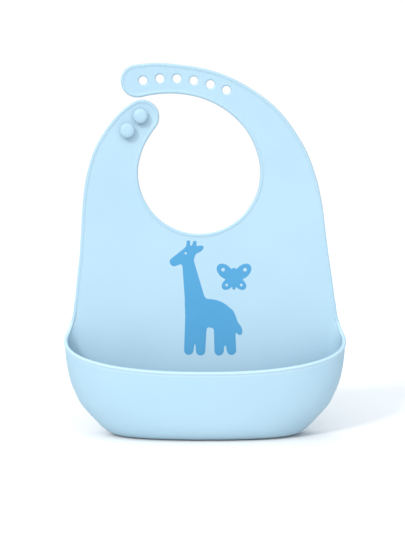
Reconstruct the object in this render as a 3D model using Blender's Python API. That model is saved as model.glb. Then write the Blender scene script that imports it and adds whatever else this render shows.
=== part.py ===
"""Silicone bib with a catcher pocket, standing on its pocket.

The bib is one silicone moulding: a soft apron with a rounded bead round its edge, a scoop-shaped
pocket with its own lip, a short strap with two mushroom studs and a long strap with six holes.
It is split here into the regions that bend against each other. The front faces -Y, the pocket's
base rests on z = 0 and the origin is under the middle of the whole bib. Lengths are in millimetres.
Depths are counted from the middle of the apron sheet, forward being negative, until the points
are placed.
"""

import math

import bmesh
import bpy
from mathutils import Matrix, Vector

MM = 0.001
APRON_Y = 25.2  # the apron sheet stands this far behind the origin

# sheet
SHEET_HALF = 1.0  # half of the 2 mm sheet
GAP = 0.3  # clearance between neighbouring regions
NOSE_R = 1.6  # rounded end of a region that bends, centred on the bend line
BEAD_PROFILE = ((0.0, 0.55), (0.6, 1.3), (1.6, 1.5), (2.8, 1.0))  # (in from the edge, half thickness)
OUTLINE_STEP = 3.6

# catcher pocket, by height
CORNER_R = 12.0
PLAN_POWER = 2.3
LIP_R = 1.6
LIP_CORNER_Z = 76.5
LIP_DROP = 21.1
CURL_TOP_Z = 105.7
POCKET_HALF_WIDTH = (
    (1, 70), (3.5, 76.8), (7, 81.8), (12, 86.8), (18, 92.4), (26, 99.2),
    (34, 103.2), (44, 107.2), (56, 109.8), (67, 111.1), (76, 111.6),
)
BACK_HALF_WIDTH = ((76, 99.6), (81, 100.4), (85, 101.2), (90, 102.1), (95, 102.9), (100, 103.6), (105, 104.2))
POCKET_DEPTH = (
    (1, 36.5), (3.5, 41.4), (7, 44.2), (12, 46.2), (18, 47.4), (26, 48.3), (40, 49.5), (56, 50.4), (77, 51.2),
)
CURL_EDGE = ((0, CURL_TOP_Z), (14, 95), (26, 90), (39, 85.2), (62, 80), (90, 76.5))  # (degrees of curl, height)
BASE_ROWS = (1.0, 3.5, 7.0, 12.0, 18.0)
WALL_ROWS = 8
CURL_COLUMNS = 7
FRONT_COLUMNS = 16
LIP_SIDES = 10

# neck opening, stud strap and hole strap
NECK_X, NECK_Z, NECK_R = -4.8, 210.4, 49.2
TAB_X, TAB_Z, TAB_R = -50.4, 254.8, 13.8
TIP_X, TIP_Z, TIP_R = -54.3, 283.4, 13.1
LEFT_SIDE = (
    (-106.4, 98), (-105.8, 104.5), (-103.8, 124), (-101.6, 143), (-100.2, 163), (-98.9, 182), (-96.6, 201.5),
    (-94.5, 211), (-91.7, 221), (-88, 230.5), (-82.5, 240.3), (-75.7, 250), (-67.2, 259.4),
)
TAB_INNER = ((-40.6, 245.1), (-44, 240.2), (-47.2, 235), (-49.8, 229.5), (-52, 223), (-53.5, 216))
STRAP_LOWER = (
    (38, 235.8), (32.7, 244.7), (26.4, 252), (18.8, 258.6), (11.5, 263.4), (3.6, 267.3), (-5.6, 270.5),
    (-15.3, 272.5), (-25, 273.4), (-34.7, 273.2), (-44.4, 272),
)
STRAP_UPPER = (
    (-44.5, 297.5), (-34, 297.5), (-20.2, 296.3), (-0.8, 293.2), (18.6, 287), (37.9, 276.7),
    (52.3, 266.3), (61.3, 257.6), (68.3, 249),
)
RIGHT_SIDE = (
    (74.4, 240), (80, 230.5), (84.4, 221), (88, 211), (90.9, 201.5), (95, 182), (97.5, 163),
    (100.2, 143), (103.2, 124), (105.8, 104.5), (106.4, 98),
)

# bend lines: a point on the line and the line's direction in the sheet
FOLD_Z = 108.0
SHOULDER_Z = 205.0
MIDDLE_BEND = ((49.0, 248.1), (0.819, 0.574))
TIP_BEND = ((23.4, 272.0), (0.438, 0.899))

# fastening
HOLE_ARC = (-29.2, 164.8, 120.6)  # centre x, centre z, radius
HOLE_START_DEG = -9.7
HOLE_PITCH = 13.6
HOLE_R = 3.4
HOLES = 6
STUDS = (("snap_stud_upper", -51.5, 255.4), ("snap_stud_lower", -62.0, 243.8))
STUD_NECK_R = 3.2
STUD_HEAD_R = 6.0
STUD_NECK_LENGTH = 2.4
STUD_HEAD_HEIGHT = 3.4

# printed picture
INK_THICK = 0.3
INK_CELL = 1.1

SILICONE = (0.545, 0.79, 0.93, 1.0)
STUD_BLUE = (0.5, 0.75, 0.9, 1.0)
INK_BLUE = (0.1, 0.4, 0.72, 1.0)


def clear_scene():
    for obj in list(bpy.data.objects):
        bpy.data.objects.remove(obj, do_unlink=True)


def material(name, colour, roughness):
    made = bpy.data.materials.new(name)
    made.use_nodes = True
    shader = made.node_tree.nodes["Principled BSDF"]
    shader.inputs["Base Color"].default_value = colour
    shader.inputs["Roughness"].default_value = roughness
    made.diffuse_color = colour
    return made


def add_mesh(name, points, faces, mat=None):
    """A mesh object from points in millimetres and faces as index lists."""
    mesh = bpy.data.meshes.new(name)
    mesh.from_pydata([Vector((p[0], p[1] + APRON_Y, p[2])) * MM for p in points], [], faces)
    edit = bmesh.new()
    edit.from_mesh(mesh)
    bmesh.ops.recalc_face_normals(edit, faces=edit.faces)
    if edit.calc_volume(signed=True) < 0:
        bmesh.ops.reverse_faces(edit, faces=edit.faces)
    edit.to_mesh(mesh)
    edit.free()
    obj = bpy.data.objects.new(name, mesh)
    bpy.context.scene.collection.objects.link(obj)
    if mat is not None:
        mesh.materials.append(mat)
    return obj


def pivot(name, x, z, parent, children):
    """An empty on a bend line that carries the pieces beyond it."""
    empty = bpy.data.objects.new(name, None)
    empty.empty_display_size = 0.02
    at = Vector((x, APRON_Y, z)) * MM
    empty.location = at
    bpy.context.scene.collection.objects.link(empty)
    if parent is not None:
        empty.parent = parent
        empty.matrix_parent_inverse = Matrix.Translation(-Vector(parent["stands_at"]))
    empty["stands_at"] = at
    for child in children:
        child.parent = empty
        child.matrix_parent_inverse = Matrix.Translation(-at)
    return empty


def as_cutter(obj):
    obj.hide_render = True
    obj.display_type = "WIRE"
    return obj


def boolean(obj, operation, cutter):
    made = obj.modifiers.new(operation.lower() + "_" + cutter.name, "BOOLEAN")
    made.operation = operation
    made.solver = "EXACT"
    made.object = cutter
    return made


def lookup(table, at):
    """Smooth value of a station table, with flat ends."""
    if at <= table[0][0]:
        return table[0][1]
    if at >= table[-1][0]:
        return table[-1][1]
    slopes = []
    for i in range(len(table)):
        low = max(i - 1, 0)
        high = min(i + 1, len(table) - 1)
        slopes.append((table[high][1] - table[low][1]) / (table[high][0] - table[low][0]))
    for i in range(len(table) - 1):
        if at <= table[i + 1][0]:
            break
    span = table[i + 1][0] - table[i][0]
    t = (at - table[i][0]) / span
    start, end = table[i][1], table[i + 1][1]
    a = slopes[i] * span - (end - start)
    b = -slopes[i + 1] * span + (end - start)
    return (1 - t) * start + t * end + t * (1 - t) * ((1 - t) * a + t * b)


def spline(stations, step):
    """Points about one step apart on a smooth open curve through the stations."""
    knots = [Vector(p) for p in stations]
    knots = [2 * knots[0] - knots[1]] + knots + [2 * knots[-1] - knots[-2]]
    out = []
    for i in range(1, len(knots) - 2):
        p0, p1, p2, p3 = knots[i - 1:i + 3]
        count = max(1, round((p2 - p1).length / step))
        t0 = 0.0
        t1 = t0 + math.sqrt((p1 - p0).length)
        t2 = t1 + math.sqrt((p2 - p1).length)
        t3 = t2 + math.sqrt((p3 - p2).length)
        for k in range(count):
            t = t1 + (t2 - t1) * k / count
            a1 = p0.lerp(p1, (t - t0) / (t1 - t0))
            a2 = p1.lerp(p2, (t - t1) / (t2 - t1))
            a3 = p2.lerp(p3, (t - t2) / (t3 - t2))
            b1 = a1.lerp(a2, (t - t0) / (t2 - t0))
            b2 = a2.lerp(a3, (t - t1) / (t3 - t1))
            out.append(b1.lerp(b2, (t - t1) / (t2 - t1)))
    out.append(knots[-2])
    return out


def arc(x, z, radius, start, end, count):
    made = []
    for i in range(count + 1):
        at = math.radians(start + (end - start) * i / count)
        made.append((x + radius * math.cos(at), z + radius * math.sin(at)))
    return made


def free_edge():
    """The bib's edge from the left curl up over both straps and the neck, down to the right curl."""
    stations = list(LEFT_SIDE)
    stations += arc(TAB_X, TAB_Z, TAB_R, 126, -22, 7)
    stations += list(TAB_INNER)
    stations += arc(NECK_X, NECK_Z, NECK_R, 180, 378, 16)
    stations += list(STRAP_LOWER)
    stations += arc(TIP_X, TIP_Z, TIP_R, 278, 86, 9)
    stations += list(STRAP_UPPER)
    stations += list(RIGHT_SIDE)
    return spline(stations, OUTLINE_STEP)


def crossings(edge, height):
    """Indices of the last point before the edge passes this height, in order along it."""
    return [i for i in range(len(edge) - 1) if (edge[i].y - height) * (edge[i + 1].y - height) < 0]


def open_end(chain, start, end):
    """The chain without the points beside its ends, so that a bead turning a sharp corner there can't fold."""
    if start:
        chain = chain[:1] + chain[3:]
    if end:
        chain = chain[:-3] + chain[-1:]
    return chain


def back_half_width(z):
    if z >= BACK_HALF_WIDTH[0][0]:
        return lookup(BACK_HALF_WIDTH, z)
    return lookup(POCKET_HALF_WIDTH, z) - CORNER_R


def sheet(name, loop, mat, beaded=True):
    """A flat sheet inside a closed loop, with or without the rounded bead along its edge."""
    count = len(loop)
    area = sum(loop[i].x * loop[(i + 1) % count].y - loop[(i + 1) % count].x * loop[i].y for i in range(count))
    if area < 0:
        loop = loop[::-1]
    inward = []
    for i in range(count):
        before = (loop[i] - loop[i - 1]).normalized()
        after = (loop[(i + 1) % count] - loop[i]).normalized()
        turn = Vector((-before.y - after.y, before.x + after.x)).normalized()
        inward.append(turn / max(turn.dot(Vector((-before.y, before.x))), 0.5))
    points = []
    for i in range(count):
        for depth, half in BEAD_PROFILE:
            at = loop[i] + inward[i] * depth
            thick = half if beaded else SHEET_HALF
            points.append((at.x, -thick, at.y))
            points.append((at.x, thick, at.y))
    rings = len(BEAD_PROFILE)
    faces = []
    for i in range(count):
        here = 2 * rings * i
        there = 2 * rings * ((i + 1) % count)
        faces.append((here, there, there + 1, here + 1))
        for k in range(rings - 1):
            for side in (0, 1):
                a = here + 2 * k + side
                b = there + 2 * k + side
                faces.append((a, a + 2, b + 2, b) if side == 0 else (a, b, b + 2, a + 2))
    last = 2 * (rings - 1)
    faces.append([2 * rings * i + last for i in range(count)])
    faces.append([2 * rings * i + last + 1 for i in reversed(range(count))])
    return add_mesh(name, points, faces, mat)


def bend_cutter(name, point, along, reach, nose):
    """A block beyond a bend line: rounded about the line for a moving region, flat short of it for a fixed one."""
    across = Vector((-along[1], along[0]))
    along = Vector(along).normalized()
    base = Vector(point)
    profile = [(12.0, 0.0), (12.0, reach), (-12.0, reach), (-12.0, 0.0)]
    if nose > 0:
        for i in range(13):
            at = math.pi + math.pi * i / 12
            profile.append((nose * math.cos(at), nose * math.sin(at)))
    else:
        profile = [(12.0, nose), (12.0, reach), (-12.0, reach), (-12.0, nose)]
    points = []
    for side in (-160.0, 160.0):
        for y, v in profile:
            at = base + along * side + across * v
            points.append((at.x, y, at.y))
    count = len(profile)
    faces = [list(range(count)), list(range(count, 2 * count))]
    for i in range(count):
        j = (i + 1) % count
        faces.append((i, j, count + j, count + i))
    return as_cutter(add_mesh(name, points, faces))


def pocket_point(kind, at, z):
    """Middle of the pocket wall: round the curled corner by degrees, or along the front by 0 to 90 degrees."""
    back = back_half_width(z)
    if kind == "corner":
        turn = math.radians(at)
        return Vector((back + CORNER_R * math.sin(turn), -CORNER_R * (1 - math.cos(turn)), z))
    turn = math.radians(at)
    width = back + CORNER_R
    depth = lookup(POCKET_DEPTH, z) - CORNER_R
    power = 2 / PLAN_POWER
    return Vector((width * math.cos(turn) ** power, -CORNER_R - depth * math.sin(turn) ** power, z))


def pocket_top(kind, at):
    if kind == "corner":
        return lookup(CURL_EDGE, at)
    return LIP_CORNER_Z - LIP_DROP * math.sin(math.radians(at)) ** (2 / PLAN_POWER)


def wall_rows(top):
    """Heights of the points up one column of the pocket wall."""
    rows = list(BASE_ROWS)
    return rows + [rows[-1] + (top - rows[-1]) * i / WALL_ROWS for i in range(1, WALL_ROWS + 1)]


def pocket_columns(curl, front):
    """Columns of the right half, from the cut beside the back panel to just short of the front centre."""
    columns = [("corner", 90.0 * i / curl) for i in range(curl)]
    columns += [("front", 90.0 * (i / front) ** 1.15) for i in range(front)]
    return columns


def catcher_pocket(mat):
    """The pocket's walls and floor. The back panel closes it behind."""
    right = pocket_columns(CURL_COLUMNS, FRONT_COLUMNS)
    half = []
    for kind, at in right + [("front", 90.0)]:
        top = pocket_top(kind, at)
        rows = wall_rows(top)
        outer, inner = [], []
        for level, z in enumerate(rows):
            middle = pocket_point(kind, at, z)
            if level == 0:
                normal = Vector((0, 0, -1))
            else:
                small = 0.4
                if kind == "corner":
                    sweep = pocket_point(kind, at + small, z) - pocket_point(kind, at - small, z)
                else:
                    low, high = max(at - small, 0.0), min(at + small, 90.0)
                    sweep = pocket_point(kind, high, z) - pocket_point(kind, low, z)
                    if at < 1:
                        sweep = Vector((0, -1, 0))
                rise = pocket_point(kind, at, z + 0.5) - pocket_point(kind, at, z - 0.5)
                normal = rise.cross(sweep).normalized()
                if normal.x * middle.x + (normal.y * (middle.y + CORNER_R)) < 0:
                    normal = -normal
                if kind == "corner" and at == 0:
                    normal = Vector((0, 1, 0))
                if kind == "front" and at == 90:
                    normal.x = 0
            shift = Vector((GAP / 2, 0, 0)) if (kind, at) == right[0] else Vector((0, 0, 0))
            outer.append(middle + normal * SHEET_HALF + shift)
            inner.append(middle - normal * SHEET_HALF + shift)
        half.append((outer, inner))
    mirror = Vector((-1, 1, 1))
    left = [([p * mirror for p in outer], [p * mirror for p in inner]) for outer, inner in half]
    columns = left + half[:-1][::-1]
    points = []
    levels = len(columns[0][0])
    for outer, inner in columns:
        points += outer + inner
    stride = 2 * levels
    total = len(columns)
    faces = []
    for c in range(total - 1):
        a, b = c * stride, (c + 1) * stride
        for r in range(levels - 1):
            faces.append((a + r, b + r, b + r + 1, a + r + 1))
            faces.append((a + levels + r, a + levels + r + 1, b + levels + r + 1, b + levels + r))
        faces.append((a + levels - 1, b + levels - 1, b + stride - 1, a + stride - 1))
    for c in (0, total - 1):
        a = c * stride
        for r in range(levels - 1):
            faces.append((a + r, a + r + 1, a + levels + r + 1, a + levels + r))
    back = -SHEET_HALF - GAP
    edge = columns[-1][0][0].x
    first = len(points)
    points += [Vector((edge, back, 0)), Vector((-edge, back, 0)), Vector((edge, back, 2)), Vector((-edge, back, 2))]
    last = (total - 1) * stride
    faces.append([c * stride for c in range(total)] + [first, first + 1])
    faces.append([c * stride + levels for c in range(total)] + [first + 2, first + 3])
    faces.append((last, first, first + 2, last + levels))
    faces.append((first, first + 1, first + 3, first + 2))
    faces.append((first + 1, 0, levels, first + 3))
    return add_mesh("catcher_pocket", points, faces, mat)


def lip_path(curl, front):
    """Centre line of the lip, from the left curl round the front to the right curl."""
    half = []
    for kind, at in pocket_columns(curl, front) + [("front", 90.0)]:
        half.append(pocket_point(kind, at, pocket_top(kind, at)))
    left = [Vector((-p.x, p.y, p.z)) for p in half]
    return left + half[:-1][::-1]


def tube(name, path, radius, sides, extra, mat=None):
    """A round bar along a path, its ends cut square and moved out by extra."""
    path = [Vector(p) for p in path]
    path[0] = path[0] + (path[0] - path[1]).normalized() * extra
    path[-1] = path[-1] + (path[-1] - path[-2]).normalized() * extra
    points = []
    side = Vector((1, 0, 0))
    for i, at in enumerate(path):
        before = path[max(i - 1, 0)]
        after = path[min(i + 1, len(path) - 1)]
        tangent = (after - before).normalized()
        side = (side - tangent * side.dot(tangent)).normalized()
        up = tangent.cross(side)
        for k in range(sides):
            turn = 2 * math.pi * (k + 0.5) / sides
            points.append(at + (side * math.cos(turn) + up * math.sin(turn)) * radius)
    faces = []
    for i in range(len(path) - 1):
        for k in range(sides):
            m = (k + 1) % sides
            faces.append((i * sides + k, i * sides + m, (i + 1) * sides + m, (i + 1) * sides + k))
    faces.append(list(range(sides)))
    faces.append([(len(path) - 1) * sides + k for k in range(sides)])
    return add_mesh(name, points, faces, mat)


def revolve(name, profile, centre, segments, mat):
    """A turned solid about a line along Y through centre, from (radius, y) stations that start and end on it."""
    x, z = centre
    points = [(x, profile[0][1], z), (x, profile[-1][1], z)]
    rings = profile[1:-1]
    for radius, y in rings:
        for k in range(segments):
            turn = 2 * math.pi * k / segments
            points.append((x + radius * math.cos(turn), y, z + radius * math.sin(turn)))
    faces = []
    for k in range(segments):
        m = (k + 1) % segments
        faces.append((0, 2 + m, 2 + k))
        for i in range(len(rings) - 1):
            a, b = 2 + i * segments, 2 + (i + 1) * segments
            faces.append((a + k, a + m, b + m, b + k))
        end = 2 + (len(rings) - 1) * segments
        faces.append((1, end + k, end + m))
    return add_mesh(name, points, faces, mat)


def stud(name, x, z, mat):
    """Mushroom stud: a short neck on the strap's front face and a domed head."""
    root = -SHEET_HALF - GAP
    under = root - STUD_NECK_LENGTH
    profile = [(0, root), (STUD_NECK_R + 0.5, root), (STUD_NECK_R, root - 0.6), (STUD_NECK_R, under)]
    profile += [(STUD_HEAD_R - 0.7, under + 0.1), (STUD_HEAD_R, under - 0.5), (STUD_HEAD_R, under - 1.2)]
    for i in range(1, 5):
        turn = math.radians(20 + 70 * i / 4)
        out = STUD_HEAD_R * math.cos(turn) / math.cos(math.radians(20))
        rise = (STUD_HEAD_HEIGHT - 1.2) * (math.sin(turn) - math.sin(math.radians(20)))
        profile.append((out, under - 1.2 - rise / (1 - math.sin(math.radians(20)))))
    profile[-1] = (0, profile[-1][1])
    return revolve(name, profile, (x, z), 24, mat)


def hole_centres():
    x, z, radius = HOLE_ARC
    made = []
    for i in range(HOLES):
        turn = math.radians(HOLE_START_DEG) + i * HOLE_PITCH / radius
        made.append((x + radius * math.sin(turn), z + radius * math.cos(turn)))
    return made


def hole_cutter():
    """All six hole cutters in one helper mesh."""
    points, faces = [], []
    sides = 20
    for x, z in hole_centres():
        first = len(points)
        for y in (-6.0, 6.0):
            for k in range(sides):
                turn = 2 * math.pi * k / sides
                points.append((x + HOLE_R * math.cos(turn), y, z + HOLE_R * math.sin(turn)))
        faces.append([first + k for k in range(sides)])
        faces.append([first + sides + k for k in reversed(range(sides))])
        for k in range(sides):
            m = (k + 1) % sides
            faces.append((first + k, first + sides + k, first + sides + m, first + m))
    return as_cutter(add_mesh("hole_cutter", points, faces))


def box_cutter(name, low, high):
    points = [(x, y, z) for x in (low[0], high[0]) for y in (low[1], high[1]) for z in (low[2], high[2])]
    faces = [(0, 1, 3, 2), (4, 6, 7, 5), (0, 4, 5, 1), (2, 3, 7, 6), (0, 2, 6, 4), (1, 5, 7, 3)]
    return as_cutter(add_mesh(name, points, faces))


def ellipse(x, z, a, b, tilt=0.0):
    """Signed distance, near enough, to a tilted ellipse."""
    turn = math.radians(tilt)
    cos, sin = math.cos(turn), math.sin(turn)

    def distance(px, pz):
        u = ((px - x) * cos + (pz - z) * sin) / a
        v = (-(px - x) * sin + (pz - z) * cos) / b
        length = math.hypot(u, v)
        return (length - 1) * min(a, b)

    return distance


def capsule(x0, z0, x1, z1, r0, r1):
    """Signed distance to a bar with round ends whose radius runs from r0 to r1."""

    def distance(px, pz):
        dx, dz = x1 - x0, z1 - z0
        t = ((px - x0) * dx + (pz - z0) * dz) / (dx * dx + dz * dz)
        t = min(max(t, 0.0), 1.0)
        return math.hypot(px - x0 - dx * t, pz - z0 - dz * t) - (r0 + (r1 - r0) * t)

    return distance


def union(shapes, blend):
    """Signed distance to shapes that flow into each other over a blend length."""

    def distance(px, pz):
        total = shapes[0](px, pz)
        for shape in shapes[1:]:
            other = shape(px, pz)
            mix = max(blend - abs(total - other), 0.0) / blend
            total = min(total, other) - mix * mix * blend / 4
        return total

    return distance


def contour(distance, low, high, cell):
    """The longest closed outline where the distance is zero, traced over a grid."""
    columns = int(math.ceil((high[0] - low[0]) / cell)) + 1
    rows = int(math.ceil((high[1] - low[1]) / cell)) + 1
    value = {}
    for i in range(columns):
        for j in range(rows):
            value[i, j] = distance(low[0] + i * cell, low[1] + j * cell) + 1e-6

    def crossing(a, b):
        t = value[a] / (value[a] - value[b])
        x = low[0] + (a[0] + (b[0] - a[0]) * t) * cell
        z = low[1] + (a[1] + (b[1] - a[1]) * t) * cell
        return Vector((x, z))

    links = {}
    spots = {}
    for i in range(columns - 1):
        for j in range(rows - 1):
            for corner in (((i, j), (i + 1, j), (i + 1, j + 1)), ((i, j), (i + 1, j + 1), (i, j + 1))):
                inside = [c for c in corner if value[c] < 0]
                if len(inside) in (0, 3):
                    continue
                ends = []
                for k in range(3):
                    a, b = sorted((corner[k], corner[(k + 1) % 3]))
                    if (value[a] < 0) != (value[b] < 0):
                        spots[a, b] = crossing(a, b)
                        ends.append((a, b))
                links.setdefault(ends[0], []).append(ends[1])
                links.setdefault(ends[1], []).append(ends[0])
    loops = []
    left = set(links)
    while left:
        start = min(left)
        loop = [start]
        left.discard(start)
        while True:
            ahead = [n for n in links[loop[-1]] if n in left]
            if not ahead:
                break
            loop.append(ahead[0])
            left.discard(ahead[0])
        loops.append([spots[key] for key in loop])
    outline = max(loops, key=len)
    even = [outline[0]]
    for point in outline[1:]:
        if (point - even[-1]).length > 0.75 * cell:
            even.append(point)
    if (even[-1] - even[0]).length < 0.6 * cell:
        even.pop()
    return even


def ink_plate(name, outline, mat):
    front = -SHEET_HALF - GAP - INK_THICK
    back = -SHEET_HALF - GAP
    count = len(outline)
    points = [(p.x, front, p.y) for p in outline] + [(p.x, back, p.y) for p in outline]
    faces = [list(range(count)), list(range(2 * count - 1, count - 1, -1))]
    for i in range(count):
        j = (i + 1) % count
        faces.append((i, count + i, count + j, j))
    return add_mesh(name, points, faces, mat)


def clipped(distance, sign, height):
    """The part of a shape above (sign 1) or below (sign -1) a height."""
    return lambda px, pz: max(distance(px, pz), sign * (height - pz))


def giraffe():
    """A plain standing giraffe in profile, made of ellipses and bars."""
    shapes = [
        ellipse(5.5, 96.5, 17.5, 11.5, -12),
        ellipse(-6.5, 100.0, 9.0, 12.0, 12),
        capsule(-7.5, 104.0, -14.0, 140.0, 8.6, 4.6),
        capsule(-13.5, 145.0, -25.0, 138.5, 5.6, 3.6),
        ellipse(-5.6, 148.6, 5.0, 2.5, 28),
        capsule(-13.8, 148, -13.4, 154.6, 1.3, 1.5),
        capsule(-9.8, 148, -8.2, 154.2, 1.3, 1.5),
        capsule(-11.0, 96, -13.2, 66.3, 5.0, 3.8),
        capsule(-3.0, 92, -3.6, 65.8, 4.8, 3.8),
        capsule(12.5, 90, 11.5, 65.8, 5.4, 3.8),
        capsule(19.0, 92, 21.6, 66.3, 5.2, 3.8),
        capsule(21.0, 98, 27.2, 86.0, 1.5, 1.1),
        ellipse(28.0, 82.6, 2.4, 3.9, 10),
    ]
    return union(shapes, 2.4)


def butterfly():
    """A plain four-winged butterfly."""
    shapes = [
        ellipse(16.2, 130.6, 7.8, 5.2, -42),
        ellipse(30.8, 130.6, 7.8, 5.2, 42),
        ellipse(18.4, 120.4, 5.6, 3.9, 42),
        ellipse(28.6, 120.4, 5.6, 3.9, -42),
        capsule(23.5, 132, 23.5, 117.0, 1.8, 1.3),
    ]
    return union(shapes, 0.6)


clear_scene()

silicone = material("sky_blue_silicone", SILICONE, 0.42)
stud_silicone = material("stud_silicone", STUD_BLUE, 0.4)
ink = material("dark_blue_ink", INK_BLUE, 0.5)

edge = free_edge()
upper_cut = crossings(edge, 222.0)
lower_cut = crossings(edge, 188.0)

# closed loops: the back panel, the apron above it and the two straps, each running past its bend line
panel_side = [Vector((back_half_width(z) - GAP / 2, z)) for z in wall_rows(CURL_TOP_Z)[:0:-1]]
panel_side.append(Vector((back_half_width(BASE_ROWS[0]) - GAP / 2 - 0.1, 2.0)))
panel_side.append(Vector((back_half_width(BASE_ROWS[0]) - GAP / 2 - 0.1, 0.0)))
panel_side.insert(0, Vector((back_half_width(CURL_TOP_Z) - GAP / 2, FOLD_Z + 8)))
panel_loop = [Vector((-p.x, p.y)) for p in reversed(panel_side)] + panel_side
apron_loop = open_end(edge[:upper_cut[0] + 1], True, True)
apron_loop += open_end(edge[upper_cut[1] + 1:upper_cut[2] + 1], True, True)
apron_loop += open_end(edge[upper_cut[3] + 1:], True, True)
stud_loop = open_end(edge[lower_cut[0] + 1:lower_cut[1] + 1], True, True)
hole_loop = open_end(edge[lower_cut[2] + 1:lower_cut[3] + 1], True, True)

# cutters at the bend lines
flat = -(NOSE_R + GAP)
fold_moving = bend_cutter("fold_moving_side", (0, FOLD_Z), (1, 0), 240, NOSE_R)
fold_fixed = bend_cutter("fold_fixed_side", (0, FOLD_Z), (1, 0), 240, flat)
shoulder_moving = bend_cutter("shoulder_moving_side", (0, SHOULDER_Z), (1, 0), 200, NOSE_R)
shoulder_fixed = bend_cutter("shoulder_fixed_side", (0, SHOULDER_Z), (1, 0), 200, flat)
middle_moving = bend_cutter("middle_moving_side", MIDDLE_BEND[0], MIDDLE_BEND[1], 240, NOSE_R)
middle_fixed = bend_cutter("middle_fixed_side", MIDDLE_BEND[0], MIDDLE_BEND[1], 240, flat)
tip_moving = bend_cutter("tip_moving_side", TIP_BEND[0], TIP_BEND[1], 240, NOSE_R)
tip_fixed = bend_cutter("tip_fixed_side", TIP_BEND[0], TIP_BEND[1], 240, flat)
holes = hole_cutter()

# the lip and the room it takes in the wall below it
lip_line = lip_path(9, 18)
lip = tube("pocket_lip", lip_line, LIP_R, LIP_SIDES, 0.0, silicone)
lip_room = as_cutter(tube("lip_room", lip_line, LIP_R + GAP, LIP_SIDES, GAP))

panel = sheet("back_panel", panel_loop, silicone, beaded=False)
boolean(panel, "DIFFERENCE", fold_fixed)
boolean(panel, "DIFFERENCE", lip_room)

apron = sheet("upper_apron", apron_loop, silicone)
boolean(apron, "INTERSECT", fold_moving)
boolean(apron, "DIFFERENCE", shoulder_fixed)

pocket = catcher_pocket(silicone)
boolean(pocket, "DIFFERENCE", lip_room)

stud_strap = sheet("stud_strap", stud_loop, silicone)
boolean(stud_strap, "INTERSECT", shoulder_moving)

root = sheet("hole_strap_root", hole_loop, silicone)
boolean(root, "INTERSECT", shoulder_moving)
boolean(root, "DIFFERENCE", middle_fixed)

middle = sheet("hole_strap_middle", hole_loop, silicone)
boolean(middle, "INTERSECT", middle_moving)
boolean(middle, "DIFFERENCE", tip_fixed)

tip = sheet("hole_strap_tip", hole_loop, silicone)
boolean(tip, "INTERSECT", tip_moving)
boolean(tip, "DIFFERENCE", holes)

studs = [stud(stud_name, stud_x, stud_z, stud_silicone) for stud_name, stud_x, stud_z in STUDS]

picture = giraffe()
head = contour(clipped(picture, 1, FOLD_Z), (-34, 100), (36, 166), INK_CELL)
body = contour(clipped(picture, -1, FOLD_Z - NOSE_R - GAP), (-34, 56), (40, 118), INK_CELL)
head_print = ink_plate("giraffe_print_head", head, ink)
ink_plate("giraffe_print_body", body, ink)
side_print = ink_plate("butterfly_print", contour(butterfly(), (4, 112), (44, 144), INK_CELL), ink)

fold = pivot("apron_fold_pivot", 0, FOLD_Z, None, (apron, head_print, side_print))
pivot("stud_strap_pivot", -75, SHOULDER_Z, fold, [stud_strap] + studs)
root_pivot = pivot("hole_strap_root_pivot", 66, SHOULDER_Z, fold, [root])
middle_pivot = pivot("hole_strap_middle_pivot", *MIDDLE_BEND[0], root_pivot, [middle])
pivot("hole_strap_tip_pivot", *TIP_BEND[0], middle_pivot, [tip])
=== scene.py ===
import math

import bmesh
import bpy
import numpy as np
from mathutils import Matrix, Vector, geometry


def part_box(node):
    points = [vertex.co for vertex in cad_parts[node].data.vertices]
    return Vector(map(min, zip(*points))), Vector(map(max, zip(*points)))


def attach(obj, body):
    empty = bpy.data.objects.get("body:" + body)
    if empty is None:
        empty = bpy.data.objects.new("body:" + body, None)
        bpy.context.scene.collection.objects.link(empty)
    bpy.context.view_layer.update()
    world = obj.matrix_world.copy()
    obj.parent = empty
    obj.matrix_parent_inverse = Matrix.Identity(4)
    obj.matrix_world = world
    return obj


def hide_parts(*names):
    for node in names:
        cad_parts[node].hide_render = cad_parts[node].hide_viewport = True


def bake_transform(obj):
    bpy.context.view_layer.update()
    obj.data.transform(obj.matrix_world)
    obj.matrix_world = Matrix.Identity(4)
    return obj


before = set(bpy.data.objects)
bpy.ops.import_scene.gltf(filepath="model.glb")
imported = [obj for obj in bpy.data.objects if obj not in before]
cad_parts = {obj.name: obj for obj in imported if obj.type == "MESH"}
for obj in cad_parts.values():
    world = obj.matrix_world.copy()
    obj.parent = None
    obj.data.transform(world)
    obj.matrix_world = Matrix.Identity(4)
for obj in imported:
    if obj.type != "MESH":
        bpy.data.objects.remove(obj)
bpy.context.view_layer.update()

# The visual model of the silicone bib. Lengths are in millimetres until a mesh is finished; x runs across,
# z up, and heights off the sheet (h) are counted from its middle, positive towards the front.

MM = 0.001
apron_low, apron_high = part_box("upper_apron")
SHEET_Y = (apron_low.y + apron_high.y) / 2 / MM
HALF_SHEET = 1.0
FACES = (HALF_SHEET, -HALF_SHEET)    # heights of the front and the back of the sheet
TINY = 1e-6
MERGE = 2e-6         # points of a mesh closer than this, in metres, become one

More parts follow.
